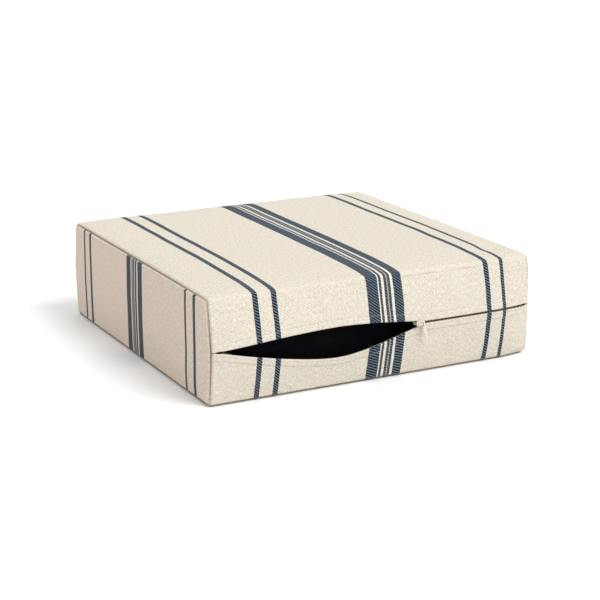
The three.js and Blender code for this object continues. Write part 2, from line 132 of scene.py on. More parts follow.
# Linear colours of the warp: where it lies on top, and where the weft crosses it
YARN = {
    "cream": ((0.650, 0.608, 0.522), (0.585, 0.545, 0.464)),
    "navy": ((0.006, 0.014, 0.026), (0.150, 0.195, 0.240)),
    "charcoal": ((0.015, 0.019, 0.020), (0.160, 0.168, 0.160)),
    "white": ((0.700, 0.695, 0.660), (0.600, 0.590, 0.545)),
    "pale": ((0.280, 0.315, 0.330), (0.360, 0.385, 0.390)),
}
TWILL_ACROSS = 6.0  # distance between twill lines along a row, in mm
TWILL_ALONG = 4.0  # and along a column


# ---------------------------------------------------------------- shape of the cover


def smooth_step(value, start, end):
    """0 up to the start and 1 from the end, with a smooth rise between."""
    t = np.clip((value - start) / (end - start), 0, 1)
    return t * t * (3 - 2 * t)


def bell(distance, centre, width):
    """A bump of height 1 at the centre."""
    return np.exp(-(((distance - centre) / width) ** 2))


def noise(u, v, cell, seed):
    """Smooth noise from -1 to 1 over a plane, with about one bump in every cell."""
    table = np.random.default_rng(seed).uniform(-1, 1, (64, 64))
    i, j = np.floor(u / cell).astype(int), np.floor(v / cell).astype(int)
    s, t = u / cell - i, v / cell - j
    s, t = s * s * (3 - 2 * s), t * t * (3 - 2 * t)
    low = table[i % 64, j % 64] * (1 - s) + table[(i + 1) % 64, j % 64] * s
    high = table[i % 64, (j + 1) % 64] * (1 - s) + table[(i + 1) % 64, (j + 1) % 64] * s
    return low * (1 - t) + high * t


def face_bulge(x):
    """How far the front and back swell at x, at half their height."""
    share = np.abs(x / HALF_WIDTH)
    left = LEFT_BULGE + (MIDDLE_BULGE - LEFT_BULGE) * (1 - share**LEFT_POWER)
    right = RIGHT_BULGE + (MIDDLE_BULGE - RIGHT_BULGE) * (1 - share**RIGHT_POWER)
    return np.where(x < 0, left, right)


def face_depth(x, z):
    """Distance from the cover's middle plane to its front or back face."""
    edge_to_edge = FOOT_HALF_DEPTH + (CREST_HALF_DEPTH - FOOT_HALF_DEPTH) * z / SEAM_HEIGHT
    height = 2 * z / SEAM_HEIGHT - 1
    return edge_to_edge + face_bulge(x) * (1 - np.abs(height) ** SWELL_POWER)


def top_height(x, y):
    """Height of the crowned top."""
    power = np.where(y < 0, CROWN_FRONT_POWER, CROWN_BACK_POWER)
    along_x = 1 - np.abs(x / HALF_WIDTH) ** CROWN_SIDE_POWER
    along_y = 1 - np.abs(y / CREST_HALF_DEPTH) ** power
    return SEAM_HEIGHT + TOP_CROWN * along_x * along_y


def front_softness(x):
    """How far a front edge's rounding reaches: it is crisp, and soft only at the right corner."""
    softer = FRONT_END_SOFTNESS - FRONT_SOFTNESS
    return FRONT_SOFTNESS + softer * smooth_step(x, SOFT_END_FROM, HALF_WIDTH)


def mouth_shape(x, power):
    """How open the mouth is at x: 0 outside it and 1 at its widest."""
    end = np.where(x < MOUTH_WIDEST, MOUTH_LEFT, MOUTH_RIGHT)
    away = 1 - np.clip((x - end) / (MOUTH_WIDEST - end), 0, 1)
    rounded = np.hypot(away, MOUTH_ROUNDING) ** power
    widest, shut = MOUTH_ROUNDING**power, math.hypot(1, MOUTH_ROUNDING) ** power
    return 1 - (rounded - widest) / (shut - widest)


def resting_lip(x):
    """From the zip's middle to a lip where the zip is closed."""
    closing = smooth_step(np.abs(x), TAPE_END, SEWN_FROM)
    return CLOSED_LIP + (SEWN_LIP - CLOSED_LIP) * closing


def upper_lip(x):
    """Height of the upper lip's edge."""
    return ZIP_HEIGHT + resting_lip(x) + UPPER_RISE * mouth_shape(x, UPPER_POWER)


def lower_lip(x):
    """Height of the lower lip's edge."""
    return ZIP_HEIGHT - resting_lip(x) - LOWER_DROP * mouth_shape(x, LOWER_POWER)


# ---------------------------------------------------------------- meshes from grids of points


def place(points):
    """Points in mm about the cover's middle, as metres in the frame."""
    moved = np.array(points, float) * MM
    moved[..., 1] += MIDDLE_Y
    return moved


def make_mesh(name, points, faces, material):
    """A smooth mesh of points in metres."""
    mesh = bpy.data.meshes.new(name)
    mesh.from_pydata(points.reshape(-1, 3).tolist(), [], faces.tolist())
    piece = bpy.data.objects.new(name, mesh)
    bpy.context.scene.collection.objects.link(piece)
    if material is not None:
        mesh.materials.append(material)
    mesh.polygons.foreach_set("use_smooth", [True] * len(mesh.polygons))
    return piece


def close_up(piece):
    """Welds points that meet, caps what is open and turns every face outwards."""
    work = bmesh.new()
    work.from_mesh(piece.data)
    bmesh.ops.remove_doubles(work, verts=work.verts, dist=1e-6)
    open_edges = [edge for edge in work.edges if edge.is_boundary]
    bmesh.ops.holes_fill(work, edges=open_edges, sides=0)
    bmesh.ops.recalc_face_normals(work, faces=work.faces)
    work.to_mesh(piece.data)
    work.free()


def grid_faces(index):
    """Quads of a grid of point numbers."""
    corners = (index[:-1, :-1], index[:-1, 1:], index[1:, 1:], index[1:, :-1])
    return np.stack(corners, axis=-1).reshape(-1, 4)


def outward_normals(grid):
    """Unit normals of a grid of points, pointing away from the middle of the cover."""
    normal = np.cross(np.gradient(grid, axis=0), np.gradient(grid, axis=1))
    normal /= np.maximum(np.linalg.norm(normal, axis=2, keepdims=True), 1e-9)
    outwards = ((grid - [0, 0, SEAM_HEIGHT / 2]) * normal).sum() > 0
    return normal if outwards else -normal


def path_length(grid):
    """Distance along each column of a grid from its first row."""
    steps = np.linalg.norm(np.diff(grid, axis=0), axis=2)
    return np.vstack([np.zeros(grid.shape[1]), np.cumsum(steps, axis=0)])


def cloth_sheet(name, outer, thickness, across, along, from_shaded_line, material):
    """A closed sheet: an outer grid of points, an inner one a thickness below it, and edges.

    across and along say where each point lies on the flat cloth, for the weave; the argument after them
    gives how far each point is from the nearest line where shade is painted into the colour: a row of
    sewing, a crease, or the foot.
    """
    shape = outer.shape[:2]
    size = shape[0] * shape[1]
    inner = outer - outward_normals(outer) * np.broadcast_to(thickness, shape)[..., None]
    index = np.arange(size).reshape(shape)
    faces = [grid_faces(index), grid_faces(index + size)[:, ::-1]]
    for line in (index[0], index[-1], index[:, 0], index[:, -1]):
        faces.append(np.stack([line[:-1], line[1:], line[1:] + size, line[:-1] + size], axis=-1))
    points = np.concatenate([outer.reshape(-1, 3), inner.reshape(-1, 3)])
    piece = make_mesh(name, place(points), np.concatenate(faces), material)
    flat = np.zeros((2, size, 3), np.float32)
    flat[:, :, 0] = np.broadcast_to(across, shape).ravel() * MM
    flat[:, :, 1] = np.broadcast_to(along, shape).ravel() * MM
    attribute = piece.data.attributes.new("cloth", "FLOAT_VECTOR", "POINT")
    attribute.data.foreach_set("vector", flat.ravel())
    # A point's distance to the nearest line of painted shade, read by the cloth's shader.
    attribute = piece.data.attributes.new("from_shaded_line", "FLOAT", "POINT")
    near = np.broadcast_to(from_shaded_line, shape).ravel().astype(np.float32) * MM
    attribute.data.foreach_set("value", np.concatenate([near, near]))
    close_up(piece)
    return piece


# ---------------------------------------------------------------- cloth simulation


def run_cloth(piece, frames):
    """Steps the simulation and returns where the piece's points end up, in metres."""
    for number in range(1, frames + 1):
        bpy.context.scene.frame_set(number)
    moved = piece.evaluated_get(bpy.context.evaluated_depsgraph_get()).to_mesh()
    points = np.array([v.co for v in moved.vertices])
    piece.modifiers.clear()
    bpy.context.scene.frame_set(1)
    return points


def capped(moves, most):
    """Moves with none longer than most."""
    length = np.linalg.norm(moves, axis=-1, keepdims=True)
    return moves * np.minimum(1, most / np.maximum(length, 1e-9))


def drawn_out(values, rows, columns, shape):
    """Values on some rows and columns of a grid, spread smoothly over the whole grid."""
    every_row, every_column = np.arange(shape[0]), np.arange(shape[1])
    wide = np.stack([np.interp(every_column, columns, line) for line in values])
    full = np.stack([np.interp(every_row, rows, line) for line in wide.T], axis=1)
    for _ in range(3):
        full[1:-1] = (full[:-2] + 2 * full[1:-1] + full[2:]) / 4
        full[:, 1:-1] = (full[:, :-2] + 2 * full[:, 1:-1] + full[:, 2:]) / 4
    return full


def settle(face, slack=0.005, most=0.9):
    """How cloth cut a little too big settles over a face that holds it at its four edges.

    Runs Blender's cloth on a coarser copy and returns moves in mm for every point of the face.
    """
    shape = face.shape[:2]
    rows = np.unique(np.linspace(0, shape[0] - 1, min(shape[0], 44)).round().astype(int))
    columns = np.unique(np.linspace(0, shape[1] - 1, min(shape[1], 64)).round().astype(int))
    coarse = face[np.ix_(rows, columns)]
    index = np.arange(coarse.shape[0] * coarse.shape[1]).reshape(coarse.shape[:2])
    faces = grid_faces(index)
    piece = make_mesh("settling", place(coarse), faces, None)
    outwards = outward_normals(coarse).mean(axis=(0, 1))
    if (outwards * piece.data.polygons[len(faces) // 2].normal).sum() < 0:
        piece.data.flip_normals()
    held = piece.vertex_groups.new(name="held")
    border = np.concatenate([index[0], index[-1], index[:, 0], index[:, -1]])
    held.add(np.unique(border).tolist(), 1.0, "REPLACE")
    cloth = piece.modifiers.new("cloth", "CLOTH").settings
    cloth.vertex_group_mass = "held"
    cloth.mass = 0.4
    cloth.tension_stiffness = 12
    cloth.compression_stiffness = 12
    cloth.bending_stiffness = 0.35
    cloth.shrink_min = -slack
    cloth.use_pressure = True
    cloth.uniform_pressure_force = 0.3
    cloth.effector_weights.gravity = 0
    moves = (run_cloth(piece, 25).reshape(coarse.shape) - place(coarse)) / MM
    bpy.data.objects.remove(piece)
    moves = capped(moves, most)
    return np.stack([drawn_out(moves[..., k], rows, columns, shape) for k in range(3)], axis=-1)


def swell(pad, most):
    """Puffs a pad up from inside with Blender's cloth. No point moves further than most, in mm."""
    remesh = pad.modifiers.new("remesh", "REMESH")
    remesh.mode = "VOXEL"
    remesh.voxel_size = 6 * MM
    pad.data = bpy.data.meshes.new_from_object(
        pad.evaluated_get(bpy.context.evaluated_depsgraph_get())
    )
    pad.modifiers.clear()
    before = np.array([v.co for v in pad.data.vertices])
    cloth = pad.modifiers.new("cloth", "CLOTH").settings
    cloth.use_pressure = True
    cloth.uniform_pressure_force = 4
    cloth.effector_weights.gravity = 0
    moves = capped(run_cloth(pad, 20) - before, most * MM)
    pad.data.vertices.foreach_set("co", (before + moves).ravel())
    pad.data.polygons.foreach_set("use_smooth", [True] * len(pad.data.polygons))


# ---------------------------------------------------------------- the two wraps of the cover

SEAM_STEPS = np.array([0, 0.5, 1.1, 1.8, 2.7, 3.7, 4.8, 6.4])
LIP_STEPS = np.array([0, 0.1, 0.35, 0.75, 1.3, 2.2, 3.6, 5.4, 7.3])
STITCH_STEPS = np.array([-0.9, -0.4, 0, 0.4, 0.9, 1.8, 3.5])


def wrap_columns():
    """Where a wrap is sampled across: evenly, and closely at its two seams."""
    middle = np.linspace(-SEAM_X + 8.5, SEAM_X - 8.5, 165)
    return np.concatenate([-SEAM_X + SEAM_STEPS, middle, SEAM_X - SEAM_STEPS[::-1]])


def section_points(y, z):
    return np.stack(np.broadcast_arrays(y, z), axis=-1)


def soft_edge(before, edge, after, count=5):
    """A quadratic curve round an edge, without its two ends."""
    t = np.linspace(0, 1, count + 2)[1:-1, None, None]
    return (1 - t) ** 2 * before + 2 * t * (1 - t) * np.array(edge) + t * t * after


def front_heights(lip, hem, far, count):
    """Heights from a lip to the far end of its face: closely over the hem, then evenly."""
    up = np.sign(np.mean(far - lip))
    near = lip + up * np.concatenate([LIP_STEPS, hem + STITCH_STEPS])[:, None]
    even = np.linspace(0, 1, count + 1)[1:-1]
    share = np.concatenate([even, [0.955, 0.97, 0.985, 1.0]])[:, None]
    return np.concatenate([near, near[-1] + (far - near[-1]) * share])


def joined_grid(x, parts):
    """Parts of a section at every x, one after another, and the rows where each begins."""
    section = np.concatenate(parts)
    across = np.broadcast_to(x[None, :, None], section.shape[:2] + (1,))
    return np.concatenate([across, section], axis=2), np.cumsum([0] + [len(p) for p in parts])


def upper_wrap_grid(x):
    """Outer face of the upper wrap: up the front from the lip, over the top, down the back."""
    soft = front_softness(x)
    z = front_heights(upper_lip(x), UPPER_HEM, SEAM_HEIGHT - soft, 16)
    front = section_points(-face_depth(x, z), z)
    y = np.linspace(soft - CREST_HALF_DEPTH, CREST_HALF_DEPTH - BACK_SOFTNESS + 0 * x, 115)
    top = section_points(y, top_height(x, y))
    z = np.linspace(SEAM_HEIGHT - BACK_SOFTNESS, BACK_SOFTNESS, 36)[:, None]
    back = section_points(face_depth(x, z), z)
    front_edge = soft_edge(front[-1], (-CREST_HALF_DEPTH, SEAM_HEIGHT), top[0])
    back_edge = soft_edge(top[-1], (CREST_HALF_DEPTH, SEAM_HEIGHT), back[0])
    return joined_grid(x, [front, front_edge, top, back_edge, back])


def lower_wrap_grid(x):
    """Outer face of the lower wrap: down the front from the lip, under, and to the back seam."""
    soft = front_softness(x)
    z = front_heights(lower_lip(x), LOWER_HEM, soft, 12)
    front = section_points(-face_depth(x, z), z)
    y = np.linspace(soft - FOOT_HALF_DEPTH, FOOT_HALF_DEPTH - BACK_SOFTNESS + 0 * x, 77)
    base = section_points(y, FOOT_LIFT * smooth_step(-y, FOOT_HALF_DEPTH - 18, FOOT_HALF_DEPTH - 7))
    z = np.array([[BACK_SOFTNESS - 0.4]])
    back = section_points(face_depth(x, z), z)
    front_edge = soft_edge(front[-1], (-FOOT_HALF_DEPTH, FOOT_LIFT), base[0])
    back_edge = soft_edge(base[-1], (FOOT_HALF_DEPTH, 0), back[0])
    return joined_grid(x, [front, front_edge, base, back_edge, back])


def seam_relief(distance, along, seed):
    """Height of the cloth beside a seam: it turns in, stands up a little and puckers."""
    turn = -SEAM_DIP * (1 - np.clip(distance / SEAM_ROLL, 0, 1)) ** 2
    bead = 0.7 * bell(distance, 2.6, 1.3)
    pucker = noise(along, distance, 7.5, seed) * 0.5 * np.exp(-distance / 7)
    return turn + bead + pucker * smooth_step(distance, 0, 2)


def hem_relief(distance, stitches, along, seed):
    """Height of the folded hem: rounded at the lip, full up to its stitches, grooved along them."""
    full = 0.6 * smooth_step(distance, 0, 2) * (1 - smooth_step(distance, stitches - 2, stitches + 2.5))
    groove = -0.6 * bell(distance, stitches, 0.8)
    fold = 0.45 * bell(distance, 1.4, 1.2) - 0.45 * bell(distance, 4.0, 1.0)
    ripple = noise(along, distance, 6.5, seed) * 0.22
    return full + groove + fold + ripple * (1 - smooth_step(distance, stitches, stitches + 10))


def wrap_piece(name, up, material):
    """One of the two wraps, up = 1 for the upper and -1 for the lower, and its outer grid."""
    x = wrap_columns()
    lip, hem = (upper_lip, UPPER_HEM) if up > 0 else (lower_lip, LOWER_HEM)
    grid, starts = upper_wrap_grid(x) if up > 0 else lower_wrap_grid(x)
    seed = 10 if up > 0 else 40
    along = path_length(grid)
    across = np.broadcast_to(x, along.shape)
    from_shaded_line = SEAM_X - np.abs(across)
    standing = smooth_step(grid[..., 2], 0, 7)  # nothing stands out below the base
    relief = seam_relief(from_shaded_line, along, seed) * standing
    front = slice(0, starts[1])
    relief[front] += hem_relief(along[front], hem, across[front], seed + 1)
    # Distance to the nearest line of painted shade: the side seams and the hem's stitches.
    from_painted_shade = np.minimum(from_shaded_line, 1.0 + np.abs(along - hem))
    if up > 0:
        from_crease = np.abs(grid[front][..., 2] - (SEAM_HEIGHT - FRONT_SOFTNESS - CREASE_DROP))
        creased = smooth_step(x, CREASE_FROM, CREASE_FROM + 8)
        creased *= 1 - smooth_step(x, CREASE_TO - 30, CREASE_TO)
        relief[front] -= CREASE_DEPTH * bell(from_crease, 0, CREASE_WIDTH) * creased
        # Painted shade along the pressed crease.
        from_painted_shade[front] = np.minimum(from_painted_shade[front], 0.8 + from_crease + 9 * (1 - creased))
    else:
        # Painted contact shadow: a dark line along the front foot, where the edge curls up off the
        # floor.
        from_foot = np.hypot(grid[..., 1] + FOOT_HALF_DEPTH, grid[..., 2] - FOOT_LIFT)
        from_painted_shade = np.minimum(from_painted_shade, 0.3 + np.maximum(0, from_foot - 1.5))
    waves = noise(across, along, BROAD_WAVE_CELL, seed + 2) * BROAD_WAVE
    waves = waves + noise(across, along, SMALL_WAVE_CELL, seed + 3) * SMALL_WAVE
    relief += waves * smooth_step(from_shaded_line, 0, 40) * smooth_step(along, hem, 3 * hem) * standing

    half_hem = HEM_CLOTH / 2
    rolled = half_hem * np.sqrt(1 - (1 - np.clip(along / half_hem, 0, 1)) ** 2)
    outer = grid + outward_normals(grid) * (relief - half_hem + rolled)[..., None]
    thickness = 2 * rolled + (CLOTH - HEM_CLOTH) * smooth_step(along, hem + 1, hem + 5)
    for number in (0, 2, 4) if up > 0 else (0,):
        past_hem = len(LIP_STEPS) + len(STITCH_STEPS) if number == 0 else 0
        rows = slice(starts[number] + past_hem, starts[number + 1])
        columns = slice(len(SEAM_STEPS) - 2, -len(SEAM_STEPS) + 2)
        outer[rows, columns] += settle(outer[rows, columns])
    drift = LEAN * (outer[..., 1] + CREST_HALF_DEPTH) / (2 * CREST_HALF_DEPTH)
    sheet = cloth_sheet(name, outer, thickness, across - drift, up * along, from_painted_shade, material)
    return sheet, outer


def bend_with_lip(piece):
    """Bakes a piece's placement into its points; it stays where it is."""
    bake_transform(piece)


# ---------------------------------------------------------------- side panels


def side_half_depth(z, side, softness):
    """Middle of a side panel to its front or back edge at height z, with its round corners."""
    x = side * SEAM_X
    half = face_depth(x, z)
    corners = (
        (SEAM_HEIGHT - softness, SEAM_HEIGHT, CREST_HALF_DEPTH),
        (softness, 0.0, FOOT_HALF_DEPTH),
    )
    for shoulder, edge, rim in corners:
        before = np.array([face_depth(x, shoulder), shoulder])
        t = np.linspace(0, 1, 60)[:, None]
        bend = (1 - t) ** 2 * before + 2 * t * (1 - t) * np.array([rim, edge])
        bend = bend + t * t * np.array([rim - softness, edge])
        order = np.argsort(bend[:, 1])
        rounded = np.interp(z, bend[order, 1], bend[order, 0])
        beyond = z > shoulder if edge > shoulder else z < shoulder
        half = np.where(beyond, rounded, half)
    return half


def side_piece(name, side, material):
    """A side panel, side = -1 for the left and 1 for the right, set between the two wraps."""
    inset = SEAM_DIP - 0.2
    low, high = inset, SEAM_HEIGHT - inset
    z = np.concatenate([low + SEAM_STEPS, np.linspace(low + 9, high - 9, 42), high - SEAM_STEPS[::-1]])
    near = SEAM_STEPS / FOOT_HALF_DEPTH
    end = 1 - 9 / FOOT_HALF_DEPTH
    share = np.concatenate([-1 + near, np.linspace(-end, end, 151), 1 - near[::-1]])
    front = side_half_depth(z, side, front_softness(side * SEAM_X))[:, None] - inset
    back = side_half_depth(z, side, BACK_SOFTNESS)[:, None] - inset
    half = np.where(share < 0, front, back)
    y = half * share
    height = np.broadcast_to(z[:, None], y.shape)
    from_edge = np.minimum(half * (1 - np.abs(share)), np.minimum(height - low, high - height))
    bulge = SIDE_BULGE * (1 - share**2) * (1 - (2 * height / SEAM_HEIGHT - 1) ** 2)
    waves = noise(y, height, 70, 71 + side) * 0.7 + noise(y, height, 30, 74 + side) * 0.25
    relief = seam_relief(from_edge, y + height, 77 + side) + waves * smooth_step(from_edge, 0, 30)
    outer = np.stack([side * (HALF_WIDTH + bulge + relief), y, height], axis=-1)
    inside = slice(len(SEAM_STEPS) - 2, -len(SEAM_STEPS) + 2)
    outer[inside, inside] += settle(outer[inside, inside], most=0.5)
    # The distance to the panel's edges also paints shade along its seams.
    piece = cloth_sheet(name, outer, CLOTH, y, height, from_edge, material)
    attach(piece, "cover")
    return piece


# ---------------------------------------------------------------- threads and the zip


def tube(name, lines, radius, sides, material):
    """Tubes along lines of points in mm, in one mesh; radius is one number or one a point."""
    points, faces = [], []
    angles = np.arange(sides) * 2 * math.pi / sides
    count = 0
    for line in lines:
        line = np.asarray(line, float)
        forward = np.gradient(line, axis=0)
        forward /= np.linalg.norm(forward, axis=1, keepdims=True)
        helper = np.where(np.abs(forward[:, 2:]) < 0.9, [[0, 0, 1.0]], [[1.0, 0, 0]])
        right = np.cross(forward, helper)
        right /= np.linalg.norm(right, axis=1, keepdims=True)
        above = np.cross(right, forward)
        around = right[:, None] * np.cos(angles)[:, None] + above[:, None] * np.sin(angles)[:, None]
        rings = line[:, None] + around * np.broadcast_to(radius, len(line))[:, None, None]
        index = count + np.arange(rings.shape[0] * sides).reshape(-1, sides)
        faces.append(grid_faces(np.concatenate([index, index[:, :1]], axis=1)))
        points.append(rings.reshape(-1, 3))
        count += index.size
    piece = make_mesh(name, place(np.concatenate(points)), np.concatenate(faces), material)
    close_up(piece)
    return piece


def stitch_row(name, outer, material):
    """The row of stitches along a hem: short threads that dive into the cloth at both ends."""
    row = len(LIP_STEPS) + int(np.argmin(np.abs(STITCH_STEPS)))
    normals = outward_normals(outer)[row]
    route = outer[row] + normals * 0.05
    distance = path_length(route[:, None])[:, 0]
    pitch, length = 3.4, 2.7
    shares = np.array([0, 0.08, 0.25, 0.5, 0.75, 0.92, 1.0])
    lift = np.array([-0.45, -0.12, 0.02, 0.06, 0.02, -0.12, -0.45])
    radius = np.array([0.05, 0.16, 0.19, 0.19, 0.19, 0.16, 0.05])
    lines = []
    for start in np.arange(3, distance[-1] - 6, pitch):
        at = start + length * shares
        line = np.stack([np.interp(at, distance, route[:, k]) for k in range(3)], axis=1)
        out = np.stack([np.interp(at, distance, normals[:, k]) for k in range(3)], axis=1)
        lines.append(line + out * lift[:, None])
    return tube(name, lines, radius, 6, material)


def thread_knot(name, material):
    """The knot that ends the left seam at its foot: a few tight turns and two short tails."""
    centre = np.array([-SEAM_X - 0.6, 0.8 - face_depth(-SEAM_X, 9.0), 9.0])
    t = np.linspace(0, 1, 60)
    turn = 2 * math.pi * 3.5 * t
    coil = np.stack([0.9 * np.cos(turn), 0.9 * np.sin(turn) * 0.7, 2.2 * (t - 0.5)], axis=1)
    tails = []
    for sign in (-1, 1):
        s = np.linspace(0, 1, 14)
        tail = np.stack([-0.4 - 1.2 * s, sign * (0.4 + 2.0 * s), -0.5 - 3.2 * s**1.5], axis=1)
        tails.append(centre + tail)
    return tube(name, [centre + coil, *tails], 0.32, 6, material)


def tucked_back(x):
    """How far the hem rolls past the tape and coil, in mm: most where the mouth is open."""
    return 2.0 * smooth_step(mouth_shape(x, LOWER_POWER), 0, 0.15)


def zip_tape_piece(name, up, material):
    """The woven tape behind a lip, to which its half of the coil is sewn."""
    lip = upper_lip if up > 0 else lower_lip
    x = np.linspace(-TAPE_END, TAPE_END, 161)
    rise = np.array([0.0, 0.15, 0.5, 2.0, 4.0, 6.5, 9.0, 11.0, 12.5, 12.85, 13.0])[:, None]
    z = lip(x) + up * (rise + 0.4 + tucked_back(x))
    depth = 2.9 - 0.15 * bell(rise, 2.0, 0.8) + noise(x[None], rise, 9, 90) * 0.1
    outer = np.stack([np.broadcast_to(x, z.shape), depth - face_depth(x, z), z], axis=-1)
    half = 0.35
    taper = np.clip(np.minimum(rise, 13 - rise) / half, 0, 1)
    thickness = 2 * half * np.sqrt(1 - (1 - taper) ** 2)
    return cloth_sheet(name, outer, thickness, x[None], rise, 20, material)


def zip_coil_piece(name, up, material):
    """One side of the coil: a flattened helix of nylon with its teeth towards the other side."""
    lip = upper_lip if up > 0 else lower_lip
    pitch, per_turn, end = 1.4, 10, 228.0
    t = np.arange(int(2 * end / pitch) * per_turn + 1) / per_turn
    x = -end + (t + (0.5 if up > 0 else 0)) * pitch
    angle = 2 * math.pi * t
    z = lip(x) + up * (0.1 + tucked_back(x) + 1.3 * np.cos(angle))
    y = 4.3 + 0.75 * np.sin(angle) - face_depth(x, lip(x))
    return tube(name, [np.stack([x, y, z], axis=1)], 0.3, 5, material)


# ---------------------------------------------------------------- insert


def rounded_ring(half_x, half_y, corner, count=12):
    """Points round a rectangle with round corners."""
    ring = []
    for turn, (sign_x, sign_y) in enumerate(((1, 1), (-1, 1), (-1, -1), (1, -1))):
        for step in np.linspace(0, math.pi / 2, count):
            angle = turn * math.pi / 2 + step
            x = sign_x * (half_x - corner) + corner * math.cos(angle)
            y = sign_y * (half_y - corner) + corner * math.sin(angle)
            ring.append((x, y))
    return np.array(ring)


def padded_block(name, half_x, half_y, low, high, corner, material):
    """A closed block with round corners and edges: a stack of rings, closed above and below."""
    turns = np.linspace(0, math.pi / 2, 6)
    edge = [(corner * math.sin(a), corner * (1 - math.cos(a))) for a in turns]
    rings = [(low + corner - rise, inset) for rise, inset in reversed(edge)]
    rings += [(z, 0) for z in np.linspace(low + corner, high - corner, 9)[1:-1]]
    rings += [(high - corner + rise, inset) for rise, inset in edge]
    stack = []
    for z, inset in rings:
        outline = rounded_ring(half_x - inset, half_y - inset, corner)
        stack.append(np.column_stack([outline, np.full(len(outline), z)]))
    shrinking = (0.85, 0.6, 0.35, 0.15)
    below = [stack[0] * [share, share, 1] for share in reversed(shrinking)]
    above = [stack[-1] * [share, share, 1] for share in shrinking]
    grid = np.array(below + stack + above)
    index = np.arange(grid.shape[0] * grid.shape[1]).reshape(grid.shape[:2])
    wrapped = np.concatenate([index, index[:, :1]], axis=1)
    piece = make_mesh(name, place(grid), grid_faces(wrapped), material)
    close_up(piece)
    return piece


# ---------------------------------------------------------------- materials


class Shader:
    """One node material around a Principled surface."""

    def __init__(self, name, roughness, specular=0.5, sheen=0.0, metallic=0.0, coat=0.0):
        self.material = bpy.data.materials.new(name)
        self.material.use_nodes = True
        self.tree = self.material.node_tree
        self.surface = self.tree.nodes["Principled BSDF"]
        self.surface.inputs["Roughness"].default_value = roughness
        self.surface.inputs["Specular IOR Level"].default_value = specular
        self.surface.inputs["Sheen Weight"].default_value = sheen
        self.surface.inputs["Sheen Roughness"].default_value = 0.5
        self.surface.inputs["Metallic"].default_value = metallic
        self.surface.inputs["Coat Weight"].default_value = coat

    def node(self, kind, **settings):
        made = self.tree.nodes.new("ShaderNode" + kind)
        for key, value in settings.items():
            setattr(made, key, value)
        return made

    def feed(self, socket, value):
        """Sets an input to a number or colour, or links it to another node's output."""
        if isinstance(value, bpy.types.NodeSocket):
            self.tree.links.new(value, socket)
        else:
            socket.default_value = value

    def math(self, operation, first, second=0.0, third=0.0):
        made = self.node("Math", operation=operation)
        for socket, value in zip(made.inputs, (first, second, third)):
            self.feed(socket, value)
        return made.outputs[0]

    def mix(self, share, first, second, blend="MIX"):
        made = self.node("Mix", data_type="RGBA", blend_type=blend)
        self.feed(made.inputs[0], share)
        self.feed(made.inputs[6], first)
        self.feed(made.inputs[7], second)
        return made.outputs[2]

    def noise(self, vector, scale, stretch=(1, 1, 1), detail=2.0, roughness=0.5):
        mapping = self.node("Mapping")
        self.feed(mapping.inputs["Vector"], vector)
        mapping.inputs["Scale"].default_value = stretch
        made = self.node("TexNoise")
        self.feed(made.inputs["Vector"], mapping.outputs[0])
        made.inputs["Scale"].default_value = scale
        made.inputs["Detail"].default_value = detail
        made.inputs["Roughness"].default_value = roughness
        return made.outputs["Fac"]

    def spread(self, value, low, high, start=0.0, end=1.0):
        """Stretches the range from low to high over the range from start to end."""
        made = self.node("MapRange")
        self.feed(made.inputs["Value"], value)
        for name, number in zip(("From Min", "From Max", "To Min", "To Max"), (low, high, start, end)):
            made.inputs[name].default_value = number
        return made.outputs[0]

    def wave(self, phase):
        """0 to 1 and back, once for each whole number of the phase."""
        turned = self.math("MULTIPLY", phase, 2 * math.pi)
        return self.math("MULTIPLY_ADD", self.math("SINE", turned), 0.5, 0.5)

    def bump(self, height, distance, strength=1.0):
        made = self.node("Bump")
        made.inputs["Distance"].default_value = distance
        made.inputs["Strength"].default_value = strength
        self.feed(made.inputs["Height"], height)
        self.feed(self.surface.inputs["Normal"], made.outputs[0])

    def colour(self, value):
        self.feed(self.surface.inputs["Base Color"], value)

    def cloth_coordinates(self):
        return self.node("Attribute", attribute_name="cloth").outputs["Vector"]

    def object_coordinates(self):
        return self.node("TexCoord").outputs["Object"]


def rgba(*colour):
    return (*colour, 1.0)


def stripe_stops(thin, band):
    """Where the warp changes colour across a cloth, in mm: (place, colour from there on)."""
    stripes = [(at - STRIPE / 2, at + STRIPE / 2, "navy") for at in thin]
    start = band[0]
    for share, colour in BAND_THREADS:
        end = band[0] + share * (band[1] - band[0])
        stripes.append((start, end, colour))
        start = end
    stops = [(-HALF_WIDTH, "cream")]
    for start, end, colour in sorted(stripes):
        if stops[-1][0] > start - 0.01:
            stops.pop()
        stops += [(start, colour), (end, "cream")]
    return stops


def stripe_ramp(shader, across, stops, crossed):
    """The warp's colour at each place across the cloth, in metres: on top, or crossed."""
    ramp = shader.node("ValToRGB")
    ramp.color_ramp.interpolation = "CONSTANT"
    elements = ramp.color_ramp.elements
    elements.remove(elements[1])
    for at, colour in stops:
        position = (at + HALF_WIDTH) / (2 * HALF_WIDTH)
        stop = elements.new(position) if at > -HALF_WIDTH else elements[0]
        stop.color = rgba(*YARN[colour][crossed])
    shader.feed(ramp.inputs[0], shader.math("MULTIPLY_ADD", across, 0.5 / (HALF_WIDTH * MM), 0.5))
    return ramp.outputs[0]


